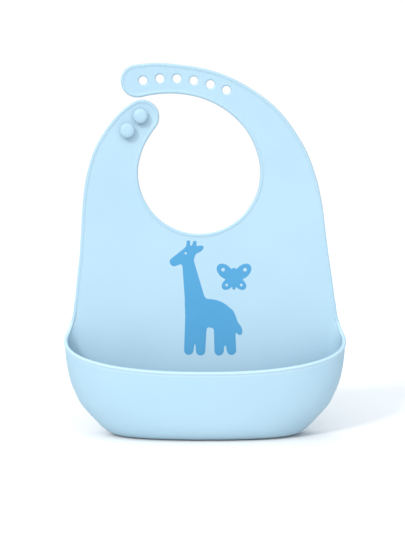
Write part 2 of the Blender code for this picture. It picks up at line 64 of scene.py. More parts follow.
# The outline of the sheet, as the CAD has it. A round stretch is its centre's x and z, its radius, its first and
# last angle in degrees, and the number of steps that it is drawn in.
TAB_ARC = (-50.4, 254.8, 13.8, 126, -22, 7)
NECK_ARC = (-4.8, 210.4, 49.2, 180, 378, 16)
TIP_ARC = (-54.3, 283.4, 13.1, 278, 86, 9)
LEFT_SIDE = (
    (-106.4, 98), (-105.8, 104.5), (-103.8, 124), (-101.6, 143), (-100.2, 163), (-98.9, 182), (-96.6, 201.5),
    (-94.5, 211), (-91.7, 221), (-88, 230.5), (-82.5, 240.3), (-75.7, 250), (-67.2, 259.4),
)
TAB_INNER = ((-40.6, 245.1), (-44, 240.2), (-47.2, 235), (-49.8, 229.5), (-52, 223), (-53.5, 216))
STRAP_LOWER = (
    (38, 235.8), (32.7, 244.7), (26.4, 252), (18.8, 258.6), (11.5, 263.4), (3.6, 267.3), (-5.6, 270.5),
    (-15.3, 272.5), (-25, 273.4), (-34.7, 273.2), (-44.4, 272),
)
STRAP_UPPER = (
    (-44.5, 297.5), (-34, 297.5), (-20.2, 296.3), (-0.8, 293.2), (18.6, 287), (37.9, 276.7),
    (52.3, 266.3), (61.3, 257.6), (68.3, 249),
)
RIGHT_SIDE = (
    (74.4, 240), (80, 230.5), (84.4, 221), (88, 211), (90.9, 201.5), (95, 182), (97.5, 163),
    (100.2, 143), (103.2, 124), (105.8, 104.5), (106.4, 98),
)
EDGE_STEP = 1.7

# the pocket: half widths and depths of its wall by height
CORNER_R = 12.0
PLAN_POWER = 2.3
POCKET_HALF_WIDTH = (
    (1, 70), (3.5, 76.8), (7, 81.8), (12, 86.8), (18, 92.4), (26, 99.2),
    (34, 103.2), (44, 107.2), (56, 109.8), (67, 111.1), (76, 111.6),
)
BACK_HALF_WIDTH = (
    (76, 99.6), (81, 100.4), (85, 101.2), (90, 102.1), (95, 102.9), (100, 103.6), (105, 104.2),
    (107, 104.8), (110, 106.5), (116, 108.5), (150, 112),
)
POCKET_DEPTH = (
    (1, 36.5), (3.5, 41.4), (7, 44.2), (12, 46.2), (18, 47.4), (26, 48.3), (40, 49.5), (56, 50.4), (77, 51.2),
)
CURL_TOP_Z = 105.7
CURL_EDGE = ((0, CURL_TOP_Z), (14, 95), (26, 90), (39, 85.2), (62, 80), (90, 76.5))
LIP_CORNER_Z = 76.5
LIP_DROP = 21.1
BASE_TOP = 3.5       # the wall rounds into the floor below this height
BASE_INSET = 10.8    # how far the rounding runs in under the sides
BASE_INSET_FRONT = 8.9
BACK_ROUND = 2.5     # rounding of the lower back edge
POCKET_TOP_Z = 76    # from here up the half widths are the back panel's
PLAN_SIZE = (111.0, 38.5)    # half width and depth of the front at which the developed sheet is measured

# how the pocket is divided: columns along its back, corners and front, and rows from, to and spacing
BACK_COLUMNS, CORNER_COLUMNS, FRONT_COLUMNS = 40, 15, 57
BASE_SHARES = (0.16, 0.32, 0.48, 0.64, 0.82, 1.0)
ROW_BANDS = ((5, 18, 1.6), (18.6, 94, 2.6), (94.4, 124, 1.9), (126, 130, 2.6))
ROW_GAP = 1.6        # the rows stop this far below the lip's bead at the front's middle
GRID_GAP = 1.25      # the grid stays this far off the bead
CURL_DEGREES = (0, 7, 14, 20, 26, 32, 39, 50, 62, 76, 90)
FRONT_STATIONS = 26
CURL_FROM_Z = 108.5
RUN_UP = 3           # edge points before the low seam that steady the bead's direction there
NEWTON_STEPS = 4
SLOPE_STEP = 0.3
FLAT_MARGIN = 0.4    # this far inside the flat back its normal is exact

# the rolled bead: distance in from the edge, height off the middle of the sheet
BEAD_HALF = (
    (4.0, 1.0), (3.3, 1.0), (2.95, 1.03), (2.65, 1.13), (2.35, 1.28), (2.0, 1.42), (1.6, 1.5),
    (1.2, 1.49), (0.8, 1.36), (0.45, 1.08), (0.18, 0.68), (0.03, 0.25),
)
BEAD = BEAD_HALF + tuple((s, -h) for s, h in reversed(BEAD_HALF))
BEAD_WIDTH = BEAD_HALF[0][0]
BEAD_MIDDLE = 1.6
RIM_SWELL = 1.25     # the pocket's lip stands a little prouder than the bead of the sheet
SWELL_FROM_Z, SWELL_OVER = 110.0, 25.0

# seams between the pieces, and the bands across the fold and the shoulders
SEAM_LOW_Z = 130.0
SEAM_HIGH_Z = 185.0
LIP_END_Z = 92.0
FOLD_BAND = (94.0, 122.0)
SHOULDER_BAND = (193.0, 217.0)
# a point on a strap's bend line, and the line's direction
MIDDLE_BEND = ((49.0, 248.1), (0.819, 0.574))
TIP_BEND = ((23.4, 272.0), (0.438, 0.899))
MIDDLE_SEAM_BEFORE = 16.0
TIP_SEAM_BEFORE = 15.0
STRAP_BAND = 9.0
MIDDLE_PAST = (30, 215)    # a strap's seam is only looked for beyond this x and z
TIP_PAST = (15, 235)
NEAR_SHARE = 0.3           # an edge point nearer to a seam than this share of a step gives way to it

# spacing of the points on the flat of each piece
APRON_SPACING, SHEET_SPACING, STRAP_SPACING = 3.2, 2.6, 2.2

# holes: the centre and radius of the arc that they lie on, and the rounded edge as radius and height
HOLE_ARC = (-29.2, 164.8, 120.6)
HOLE_START_DEG = -9.7
HOLE_PITCH = 13.6
HOLES = 6
HOLE_SIDES = 40
HOLE_HALF = ((5.1, 1.0), (4.65, 1.0), (4.4, 0.96), (4.12, 0.84), (3.84, 0.65), (3.58, 0.42), (3.4, 0.2))

STUDS = (("snap_stud_upper", -51.5, 255.4), ("snap_stud_lower", -62.0, 243.8))
STUD_SIDES = 72
# a stud's profile from the foot up the neck and under the head, as radius and height, and then its dome
STUD_NECK = (
    (0.0, 0.7), (4.9, 0.7), (4.7, 0.98), (4.2, 1.1), (3.75, 1.4), (3.4, 1.9), (3.22, 2.5), (3.2, 3.1),
    (3.3, 3.45), (3.6, 3.66), (4.2, 3.74), (5.2, 3.8), (5.6, 3.92), (5.88, 4.2), (6.0, 4.6),
)
DOME_R, DOME_FROM, DOME_RISE = 6.0, 4.9, 2.2
DOME_STEPS = 14
DOME_SHOULDER, DOME_CROWN = 0.62, 0.95    # below 1 the dome is squarer than an ellipse

# printed pictures: an eye or a spot is its x, z, radius and sides, and a window the corners searched for an outline
GIRAFFE_WINDOW, GIRAFFE_CELL, GIRAFFE_BLEND = ((-34, 56), (40, 166)), 0.45, 2.4
GIRAFFE_EYE = (-15.6, 145.4, 0.95, 16)
BUTTERFLY_WINDOW, BUTTERFLY_CELL, BUTTERFLY_BLEND = ((4, 108), (44, 146)), 0.4, 0.6
WING_SPOTS = (
    (14.6, 132.2, 1.5, 20), (32.4, 132.2, 1.5, 20), (17.6, 119.7, 1.1, 16), (29.4, 119.7, 1.1, 16),
)
OUTLINE_STEP = 1.25    # spacing of the points on a traced outline, in cells
# the film of ink: distance in from its outline, height off the middle of the sheet
FILM_FOOT = 0.94
FILM_EDGE = ((0.0, FILM_FOOT), (0.0, 1.03), (0.07, 1.07), (0.16, 1.09))
FILM_SPACING, FILM_REACH = 1.9, 0.5

# camera
CAMERA_AT = (-2.0, -924.8, 210.0)
CAMERA_TO = (-2.0, 25.2, 131.8)
LENS = 78.45
SENSOR = 36.0
CLIP_END = 50.0    # metres

# floor and light, in metres
FLOOR_HALF = 6.0
FLOOR_COLOUR = (0.755, 0.745, 0.745, 1)
AMBIENT = 0.55
AMBIENT_COLOUR = (0.80, 0.99, 1.16, 1)
SUN_COLOUR = (1.0, 0.985, 0.95)
# name, direction it comes from, strength, breadth in degrees
LIGHTS = (
    ("overhead", (-0.1, -0.3, 0.95), 1.7, 80.0),
    ("key", (-0.85, -1.2, 0.95), 1.6, 12.0),
    ("fill", (0.2, -1.6, 0.5), 1.2, 55.0),
    ("rear", (-0.6, 1.2, 0.5), 1.2, 60.0),
)
# name, place, what it points at, power, cone in degrees
LOW_FRONT = ("low_front", (0.05, -1.2, 0.4), (0.0, 0.02, 0.055), 7.0, 17.0)
LOW_FRONT_SIZE = 0.12

NOISE_RANGE = (0.3, 0.7)    # the part of a noise texture's output that is used


def lookup(table, at):
    """Smooth value of a station table, with flat ends."""
    if at <= table[0][0]:
        return table[0][1]
    if at >= table[-1][0]:
        return table[-1][1]
    slopes = []
    for i in range(len(table)):
        low = max(i - 1, 0)
        high = min(i + 1, len(table) - 1)
        slopes.append((table[high][1] - table[low][1]) / (table[high][0] - table[low][0]))
    for i in range(len(table) - 1):
        if at <= table[i + 1][0]:
            break
    span = table[i + 1][0] - table[i][0]
    t = (at - table[i][0]) / span
    start, end = table[i][1], table[i + 1][1]
    a = slopes[i] * span - (end - start)
    b = -slopes[i + 1] * span + (end - start)
    return (1 - t) * start + t * end + t * (1 - t) * ((1 - t) * a + t * b)


def spline(stations, step):
    """Points about one step apart on a smooth open curve through the stations."""
    knots = [np.array(p, float) for p in stations]
    knots = [2 * knots[0] - knots[1]] + knots + [2 * knots[-1] - knots[-2]]
    out = []
    for i in range(1, len(knots) - 2):
        p0, p1, p2, p3 = knots[i - 1:i + 3]
        count = max(1, round(np.linalg.norm(p2 - p1) / step))
        t0 = 0.0
        t1 = t0 + math.sqrt(np.linalg.norm(p1 - p0))
        t2 = t1 + math.sqrt(np.linalg.norm(p2 - p1))
        t3 = t2 + math.sqrt(np.linalg.norm(p3 - p2))
        for k in range(count):
            t = t1 + (t2 - t1) * k / count
            a1 = p0 + (p1 - p0) * (t - t0) / (t1 - t0)
            a2 = p1 + (p2 - p1) * (t - t1) / (t2 - t1)
            a3 = p2 + (p3 - p2) * (t - t2) / (t3 - t2)
            b1 = a1 + (a2 - a1) * (t - t0) / (t2 - t0)
            b2 = a2 + (a3 - a2) * (t - t1) / (t3 - t1)
            out.append(b1 + (b2 - b1) * (t - t1) / (t2 - t1))
    out.append(knots[-2])
    return out


def arc(x, z, radius, start, end, count):
    """Points on a circle, from one angle to another."""
    made = []
    for i in range(count + 1):
        at = math.radians(start + (end - start) * i / count)
        made.append((x + radius * math.cos(at), z + radius * math.sin(at)))
    return made


# ---------------------------------------------------------------- the edge and where the seams cross it

def whole_edge():
    """The bib's edge from the left curl up over both straps and the neck, down to the right curl."""
    stations = list(LEFT_SIDE)
    stations += arc(*TAB_ARC)
    stations += list(TAB_INNER)
    stations += arc(*NECK_ARC)
    stations += list(STRAP_LOWER)
    stations += arc(*TIP_ARC)
    stations += list(STRAP_UPPER)
    stations += list(RIGHT_SIDE)
    return spline(stations, EDGE_STEP)


def unit(vectors):
    """Rows scaled to length 1."""
    return vectors / np.linalg.norm(vectors, axis=-1)[:, None]


def beyond(bend, before):
    """Signed distance past a line that crosses a strap, so far before a bend line."""
    (x, z), (ax, az) = bend
    return lambda p: (p[0] - x) * -az + (p[1] - z) * ax + before


def split_edge(points):
    """The edge with a point at each seam crossing and no very short steps, and those points' indices by name."""
    tests = (
        ("low", lambda p: p[1] - SEAM_LOW_Z, lambda p: True),
        ("high", lambda p: p[1] - SEAM_HIGH_Z, lambda p: True),
        ("middle", beyond(MIDDLE_BEND, MIDDLE_SEAM_BEFORE), lambda p: (p > MIDDLE_PAST).all()),
        ("tip", beyond(TIP_BEND, TIP_SEAM_BEFORE), lambda p: (p > TIP_PAST).all()),
    )
    out, marks = [points[0]], {}
    for a, b in zip(points, points[1:]):
        for name, test, near in tests:
            fa, fb = test(a), test(b)
            if near(a) and fa * fb < 0:
                share = fa / (fa - fb)
                if share < NEAR_SHARE and len(out) > 1:
                    out.pop()
                marks.setdefault(name, []).append(len(out))
                out.append(a + (b - a) * share)
                if share > 1 - NEAR_SHARE:
                    b = None
                break
        if b is not None:
            out.append(b)
    return np.array(out), marks


def inward_of(points):
    """Unit normals of the edge, towards the inside of the sheet."""
    ahead = np.roll(points, -1, axis=0) - points
    ahead[-1] = ahead[-2]
    behind = points - np.roll(points, 1, axis=0)
    behind[0] = behind[1]
    along = unit(unit(ahead) + unit(behind))
    return np.stack([along[:, 1], -along[:, 0]], axis=1)


edge, marks = split_edge(whole_edge())
inward = inward_of(edge)


# ---------------------------------------------------------------- mesh building

class Shape:
    """Points and faces of one closed piece, in millimetres."""

    def __init__(self):
        self.points = []
        self.faces = []

    def add(self, points):
        """Adds points, and returns their indices."""
        first = len(self.points)
        self.points.extend(np.asarray(points, float).reshape(-1, 3))
        return list(range(first, len(self.points)))

    def patch(self, points, faces):
        """Adds points with faces that count from the first of them."""
        ids = self.add(points)
        self.faces.extend(tuple(ids[k] for k in f) for f in faces)

    def strip(self, rows):
        """Joins each row of points to the next with quads."""
        for a, b in zip(rows, rows[1:]):
            for k in range(len(a) - 1):
                self.faces.append((a[k], b[k], b[k + 1], a[k + 1]))

    def revolve(self, x, z, profile, sides):
        """Turns a profile of radius and height about a line across the sheet."""
        rows = []
        for k in range(sides + 1):
            turn = 2 * math.pi * (k % sides) / sides
            rows.append(self.add([(x + r * math.cos(turn), -h, z + r * math.sin(turn)) for r, h in profile]))
        self.strip(rows)

    def close_seam(self, between, start, end):
        """Closes the sheet along a seam between two of the bead's sections."""
        front = [start[0]] + self.add(flat(between, HALF_SHEET)) + [end[0]]
        back = [start[-1]] + self.add(flat(between, -HALF_SHEET)) + [end[-1]]
        self.strip([front, back])
        self.faces.append(tuple(start))
        self.faces.append(tuple(end))

    def finish(self, name, sharp=38.0):
        """The shape as a mesh object in metres, with edges sharper than the angle kept hard."""
        mesh = bpy.data.meshes.new(name)
        points = (np.array(self.points) + np.array([0, SHEET_Y, 0])) * MM
        mesh.from_pydata([tuple(p) for p in points], [], self.faces)
        edit = bmesh.new()
        edit.from_mesh(mesh)
        bmesh.ops.remove_doubles(edit, verts=edit.verts, dist=MERGE)
        bmesh.ops.dissolve_degenerate(edit, edges=edit.edges, dist=1e-7)
        loose = [v for v in edit.verts if not v.link_faces]
        bmesh.ops.delete(edit, geom=loose, context="VERTS")
        bmesh.ops.recalc_face_normals(edit, faces=edit.faces)
        if edit.calc_volume(signed=True) < 0:
            bmesh.ops.reverse_faces(edit, faces=edit.faces)
        edit.to_mesh(mesh)
        edit.free()
        mesh.shade_smooth()
        mesh.set_sharp_from_angle(angle=math.radians(sharp))
        obj = bpy.data.objects.new(name, mesh)
        bpy.context.scene.collection.objects.link(obj)
        return obj


def inside_loop(points, loop):
    """Which points lie inside a closed loop."""
    inside = np.zeros(len(points), bool)
    ends = np.roll(loop, -1, axis=0)
    for (x0, z0), (x1, z1) in zip(loop, ends):
        if z0 == z1:
            continue
        crosses = (points[:, 1] > z0) != (points[:, 1] > z1)
        at = x0 + (points[:, 1] - z0) * (x1 - x0) / (z1 - z0)
        inside ^= crosses & (points[:, 0] < at)
    return inside


def clear_of(points, loop, reach):
    """Which points are further than reach from every point of a loop."""
    keep = np.ones(len(points), bool)
    for at in loop:
        keep &= np.hypot(points[:, 0] - at[0], points[:, 1] - at[1]) > reach
    return keep


def fill(loops, lattice):
    """Points and triangles of the flat region inside the first loop and outside the others."""
    points, edges = [], []
    for loop in loops:
        first = len(points)
        points.extend([tuple(p) for p in loop])
        edges.extend([(first + i, first + (i + 1) % len(loop)) for i in range(len(loop))])
    points.extend([tuple(p) for p in lattice])
    given = [Vector(p) for p in points]
    made = geometry.delaunay_2d_cdt(given, edges, [], 1, 1e-5)
    verts = []
    for i, at in enumerate(made[0]):
        source = made[3][i]
        verts.append(points[source[0]] if source else (at.x, at.y))
    verts = np.array(verts)
    faces = [tuple(f) for f in made[2]]
    middles = np.array([verts[list(f)].mean(axis=0) for f in faces])
    keep = inside_loop(middles, loops[0])
    for hole in loops[1:]:
        keep &= ~inside_loop(middles, hole)
    return verts, [f for f, k in zip(faces, keep) if k]


def lattice_in(loop, spacing, reach=0.62, holes=()):
    """A triangular lattice inside a loop, kept off its edge and the holes' by a share of its spacing."""
    loop = np.array(loop)
    low, high = loop.min(axis=0), loop.max(axis=0)
    rise = spacing * math.sqrt(3) / 2
    made = []
    for j in range(int((high[1] - low[1]) / rise) + 1):
        z = low[1] + j * rise
        start = low[0] + (spacing / 2 if j % 2 else 0.0)
        xs = np.arange(start, high[0], spacing)
        made.append(np.stack([xs, np.full(len(xs), z)], axis=1))
    made = np.concatenate(made)
    made = made[inside_loop(made, loop)]
    made = made[clear_of(made, loop, spacing * reach)]
    for hole in holes:
        made = made[~inside_loop(made, hole)]
        made = made[clear_of(made, hole, spacing * reach)]
    return made


def flat(points, h):
    """Points of the flat sheet at a height off its middle."""
    points = np.asarray(points, float)
    return np.stack([points[:, 0], np.full(len(points), -h), points[:, 1]], axis=1)


def seam_between(i, j):
    """Points of a seam between two places on the edge, from i to j, without its ends."""
    low, high = min(i, j), max(i, j)
    a = edge[low] + inward[low] * BEAD_WIDTH
    b = edge[high] + inward[high] * BEAD_WIDTH
    count = max(2, round(np.linalg.norm(b - a) / STRAP_SPACING))
    made = [a + (b - a) * k / count for k in range(1, count)]
    return made if i < j else made[::-1]


def bead_rows(shape, first, last):
    """The bead's sections along a stretch of the edge."""
    rows = []
    for i in range(first, last + 1):
        section = []
        for s, h in BEAD:
            at = edge[i] + inward[i] * s
            section.append((at[0], -h, at[1]))
        rows.append(shape.add(section))
    return rows


def circle(x, z, radius, sides):
    """Corners of a round outline."""
    turns = [2 * math.pi * k / sides for k in range(sides)]
    return np.array([(x + radius * math.cos(t), z + radius * math.sin(t)) for t in turns])


def sheet_piece(name, chains, spacing=SHEET_SPACING, holes=()):
    """A flat region of the sheet between stretches of beaded edge and straight seams."""
    shape = Shape()
    loop, sections, seams = [], {}, []
    for kind, i, j in chains:
        if kind == "edge":
            rows = bead_rows(shape, i, j)
            shape.strip(rows)
            sections[i], sections[j] = rows[0], rows[-1]
            loop.extend([edge[k] + inward[k] * BEAD_WIDTH for k in range(i, j + 1)])
        else:
            between = seam_between(i, j)
            loop.extend(between)
            seams.append((i, j, between))
    inner = [circle(x, z, HOLE_HALF[0][0], HOLE_SIDES) for x, z in holes]
    points, faces = fill([loop] + inner, lattice_in(loop, spacing, holes=inner))
    for h in FACES:
        shape.patch(flat(points, h), faces)
    for i, j, between in seams:
        shape.close_seam(between, sections[i], sections[j])
    hole_profile = HOLE_HALF + tuple((r, -h) for r, h in reversed(HOLE_HALF))
    for x, z in holes:
        shape.revolve(x, z, hole_profile, HOLE_SIDES)
    return shape.finish(name)


def hole_centres():
    """Centres of the holes, evenly spaced along an arc."""
    x, z, radius = HOLE_ARC
    made = []
    for i in range(HOLES):
        turn = math.radians(HOLE_START_DEG) + i * HOLE_PITCH / radius
        made.append((x + radius * math.sin(turn), z + radius * math.cos(turn)))
    return made


# ---------------------------------------------------------------- the pocket, as one developed sheet

# A place on the developed sheet is (q, v): q runs from the middle of the back, round the curled corner and
# along the front to its middle, and v up the wall. Below BASE_TOP v follows the rounding into the floor.

FLAT_Q = 100.0
CORNER_Q = CORNER_R * math.pi / 2
V_LOW, V_HIGH = 1.0, 150.0
V_STEPS, TURN_STEPS = 2980, 1800
PLAN_EXPONENT = 2 / PLAN_POWER
V_GRID = np.linspace(V_LOW, V_HIGH, V_STEPS + 1)
above_base = np.maximum(V_GRID, BASE_TOP)
share = np.clip((V_GRID - V_LOW) / (BASE_TOP - V_LOW), 0, 1)
pocket_width = np.array([lookup(POCKET_HALF_WIDTH, v) for v in above_base])
panel_width = np.array([lookup(BACK_HALF_WIDTH, v) for v in above_base]) + CORNER_R
WIDTHS = np.where(above_base < POCKET_TOP_Z, pocket_width, panel_width) - BASE_INSET * (1 - share)
DEPTHS = np.array([lookup(POCKET_DEPTH, v) for v in above_base]) - BASE_INSET_FRONT * (1 - share)
RISES = np.where(share < 1, V_LOW + (BASE_TOP - V_LOW) * share ** 2, V_GRID)
CORNERS = CORNER_R - BACK_ROUND * (1 - np.sqrt(1 - (1 - share ** 2) ** 2))

front_turns = np.radians(np.linspace(0, 90, TURN_STEPS + 1))
front_x = PLAN_SIZE[0] * np.cos(front_turns) ** PLAN_EXPONENT
front_y = PLAN_SIZE[1] * np.sin(front_turns) ** PLAN_EXPONENT
front_run = np.concatenate([[0], np.cumsum(np.hypot(np.diff(front_x), np.diff(front_y)))])
FRONT_Q = front_run[-1]
Q_END = FLAT_Q + CORNER_Q + FRONT_Q


def wall(q, v):
    """Middle of the sheet at a developed place."""
    q, v = np.asarray(q, float), np.asarray(v, float)
    side, a = np.sign(q), np.abs(q)
    width = np.interp(v, V_GRID, WIDTHS)
    depth = np.interp(v, V_GRID, DEPTHS)
    radius = np.interp(v, V_GRID, CORNERS)
    rise = np.interp(v, V_GRID, RISES)
    back = width - radius
    turn = np.clip((a - FLAT_Q) / CORNER_R, 0, math.pi / 2)
    at = np.interp(a - FLAT_Q - CORNER_Q, front_run, front_turns)
    x = np.where(a <= FLAT_Q, a / FLAT_Q * back, back + radius * np.sin(turn))
    y = np.where(a <= FLAT_Q, radius - CORNER_R, radius * np.cos(turn) - CORNER_R)
    on_front = a > FLAT_Q + CORNER_Q
    x = np.where(on_front, width * np.maximum(np.cos(at), 0) ** PLAN_EXPONENT, x)
    y = np.where(on_front, -CORNER_R - (depth - CORNER_R) * np.sin(at) ** PLAN_EXPONENT, y)
    return np.stack([side * x, y, rise], axis=-1)


def back_width(v):
    """Half width of the flat back between the curled corners."""
    return np.interp(v, V_GRID, WIDTHS) - CORNER_R


def slopes(q, v, small=SLOPE_STEP):
    """How the wall runs across and up at a developed place."""
    across = wall(q + small, v) - wall(q - small, v)
    up = wall(q, v + small) - wall(q, v - small)
    return across / (2 * small), up / (2 * small)


def facing(q, v):
    """Unit normal of the wall, towards the inside of the pocket and the front of the apron."""
    across, up = slopes(q, v)
    n = np.cross(across, up)
    n[np.abs(q) >= Q_END - TINY, 0] = 0
    n[(np.abs(q) < FLAT_Q - FLAT_MARGIN) & (v > BASE_TOP + FLAT_MARGIN)] = (0, -1, 0)
    n[v < V_LOW + TINY] = (0, 0, 1)
    return unit(n)


def rim_height(turn):
    """Height of the lip's middle line, which dips towards the front's middle."""
    return LIP_CORNER_Z - LIP_DROP * math.sin(turn) ** PLAN_EXPONENT


def half_rim(flats):
    """Middle line of the bead from a stretch of the flat edge down round the curl to the front's middle."""
    stations = [tuple(p) for p in flats[-2:]]
    for degrees in CURL_DEGREES:
        stations.append((FLAT_Q + CORNER_R * math.radians(degrees), lookup(CURL_EDGE, degrees)))
    for k in range(1, FRONT_STATIONS + 1):
        run = FRONT_Q * (k / FRONT_STATIONS)
        turn = float(np.interp(run, front_run, front_turns))
        stations.append((FLAT_Q + CORNER_Q + run, rim_height(turn)))
    curve = spline(stations, EDGE_STEP)
    skip = next(i for i, p in enumerate(curve) if np.linalg.norm(p - stations[1]) < TINY)
    return np.array(list(flats) + curve[skip + 1:])


def bead_places(line, side):
    """Developed places and points of the bead's sections along a line of developed places."""
    q, v = line[:, 0] * side, line[:, 1]
    middle = wall(q, v)
    run = np.gradient(middle, axis=0)
    run[-1] = (-side, 0, 0)
    run = unit(run)
    normal = facing(q, v)
    into = np.cross(run, normal) * side
    sections = []
    for s, h in BEAD:
        goal = middle + into * (s - BEAD_MIDDLE)
        qs, vs = q.copy(), v.copy()
        for _ in range(NEWTON_STEPS):
            across, up = slopes(qs, vs)
            miss = goal - wall(qs, vs)
            aa, bb, ab = (across ** 2).sum(1), (up ** 2).sum(1), (across * up).sum(1)
            ma, mb = (miss * across).sum(1), (miss * up).sum(1)
            scale = aa * bb - ab ** 2
            qs += (ma * bb - mb * ab) / scale
            vs += (mb * aa - ma * ab) / scale
        qs[-1] = side * Q_END
        sections.append((qs, vs, h))
    return sections


def rim_of(side):
    """One side's bead from the low seam to the front's middle: its middle line and its developed sections."""
    centre = edge + inward * BEAD_MIDDLE
    k = marks["low"][1 if side == 1 else 0] - RUN_UP * side
    flats = []
    while edge[k][1] > CURL_FROM_Z:
        x, z = centre[k]
        flats.append((abs(x) / back_width(z) * FLAT_Q, z))
        k += side
    line = half_rim(np.array(flats))
    sections = [(qs[RUN_UP:], vs[RUN_UP:], h) for qs, vs, h in bead_places(line, side)]
    return line[RUN_UP:], sections


def swollen(line, sections):
    """Points of the bead's sections, which swell from the sheet's bead into the prouder lip."""
    lift = np.clip((SWELL_FROM_Z - line[:, 1]) / SWELL_OVER, 0, 1)
    lift = 1 + (RIM_SWELL - 1) * lift * lift * (3 - 2 * lift)
    made = []
    for qs, vs, h in sections:
        proud = np.full(len(qs), h)
        if abs(h) > HALF_SHEET:
            proud = np.sign(h) * (HALF_SHEET + (abs(h) - HALF_SHEET) * lift)
        made.append(wall(qs, vs) + facing(qs, vs) * proud[:, None])
    return np.stack(made, axis=1)  # station, place across the bead, xyz


def grid_lines():
    """Columns (q) and rows (v) of the developed sheet's grid."""
    half = [FLAT_Q * k / BACK_COLUMNS for k in range(BACK_COLUMNS)]
    half += [FLAT_Q + CORNER_Q * k / CORNER_COLUMNS for k in range(CORNER_COLUMNS)]
    half += [FLAT_Q + CORNER_Q + FRONT_Q * k / FRONT_COLUMNS for k in range(FRONT_COLUMNS)]
    half = np.array([round(q, 6) for q in half] + [Q_END])
    columns = np.concatenate([-half[:0:-1], half])
    base = V_LOW + (BASE_TOP - V_LOW) * np.array(BASE_SHARES)
    return columns, np.concatenate([base] + [np.arange(*band) for band in ROW_BANDS])


def developed_region(left_up, right_down, seam):
    """Points and triangles of the developed sheet inside the bead, closed at the front's middle."""
    columns, rows = grid_lines()
    seam_places = [(x / back_width(z) * FLAT_Q, z) for x, z in seam]
    risers = [v for v in rows if v < right_down[-1, 1] - ROW_GAP]
    loop = [(-Q_END, V_LOW)] + [(-Q_END, v) for v in risers]
    loop += [tuple(p) for p in left_up] + seam_places + [tuple(p) for p in right_down]
    loop += [(Q_END, v) for v in risers[::-1]]
    loop += [(q, V_LOW) for q in columns[:0:-1]]
    grid = np.array([(q, v) for v in rows for q in columns[1:-1]])
    grid = grid[inside_loop(grid, loop)]
    grid = grid[clear_of(grid, np.concatenate([left_up, right_down, seam_places]), GRID_GAP)]
    return fill([loop], grid)


def bowl_and_lip():
    """The pocket with the lower back panel, and the thick lip that closes its edge from curl to curl."""
    rims = {side: rim_of(side) for side in (1, -1)}
    beads = {side: swollen(*rims[side]) for side in rims}
    ends = {side: int(np.argmax(rims[side][0][:, 1] < LIP_END_Z)) for side in rims}
    inner = {side: np.stack(rims[side][1][0][:2], axis=1) for side in rims}
    seam = seam_between(*marks["low"])
    points, faces = developed_region(inner[-1][::-1], inner[1], seam)

    bowl = Shape()
    middle, normal = wall(points[:, 0], points[:, 1]), facing(points[:, 0], points[:, 1])
    for h in FACES:
        bowl.patch(middle + normal * h, faces)
    q = grid_lines()[0][:-1]
    ring = wall(q, np.full(len(q), V_LOW))
    for h in FACES:  # the floor and the underside
        bowl.faces.append(tuple(bowl.add(ring + np.array([0, 0, h]))))
    starts = {}
    for side, bead in beads.items():
        rows = [bowl.add(section) for section in bead[:ends[side] + 1]]
        bowl.strip(rows)
        bowl.faces.append(tuple(rows[-1]))
        bowl.strip([bowl.add(section[[0, -1]]) for section in bead[ends[side]:]])
        starts[side] = rows[0]
    bowl.close_seam(seam, starts[-1], starts[1])

    lip = Shape()
    right = list(beads[1][ends[1]:])
    left = list(beads[-1][ends[-1]:-1][::-1])
    rows = [lip.add(section) for section in right + left]
    lip.strip(rows)
    lip.strip([[row[-1], row[0]] for row in rows])
    lip.faces.append(tuple(rows[0]))
    lip.faces.append(tuple(rows[-1]))
    return bowl.finish("pocket_and_back"), lip.finish("pocket_rim")


# ---------------------------------------------------------------- studs

def stud(name, x, z):
    """Mushroom stud with a filleted neck and a round-edged button head."""
    profile = list(STUD_NECK)
    for i in range(1, DOME_STEPS + 1):
        turn = math.radians(90 * i / DOME_STEPS)
        radius = DOME_R * math.cos(turn) ** DOME_SHOULDER
        profile.append((radius, DOME_FROM + DOME_RISE * math.sin(turn) ** DOME_CROWN))
    profile[-1] = (0.0, profile[-1][1])
    shape = Shape()
    shape.revolve(x, z, profile, STUD_SIDES)
    return shape.finish(name, sharp=50)


# ---------------------------------------------------------------- printed picture

def ellipse(x, z, a, b, tilt=0.0):
    """Signed distance, near enough, to a tilted ellipse."""
    turn = math.radians(tilt)
    cos, sin = math.cos(turn), math.sin(turn)

    def distance(px, pz):
        u = ((px - x) * cos + (pz - z) * sin) / a
        v = (-(px - x) * sin + (pz - z) * cos) / b
        return (np.hypot(u, v) - 1) * min(a, b)

    return distance


def capsule(x0, z0, x1, z1, r0, r1):
    """Signed distance to a bar with round ends whose radius runs from r0 to r1."""

    def distance(px, pz):
        dx, dz = x1 - x0, z1 - z0
        t = np.clip(((px - x0) * dx + (pz - z0) * dz) / (dx * dx + dz * dz), 0, 1)
        return np.hypot(px - x0 - dx * t, pz - z0 - dz * t) - (r0 + (r1 - r0) * t)

    return distance


def union(shapes, blend):
    """Signed distance to shapes that flow into each other over a blend length."""

    def distance(px, pz):
        total = shapes[0](px, pz)
        for shape in shapes[1:]:
            other = shape(px, pz)
            mix = np.maximum(blend - np.abs(total - other), 0.0) / blend
            total = np.minimum(total, other) - mix * mix * blend / 4
        return total

    return distance


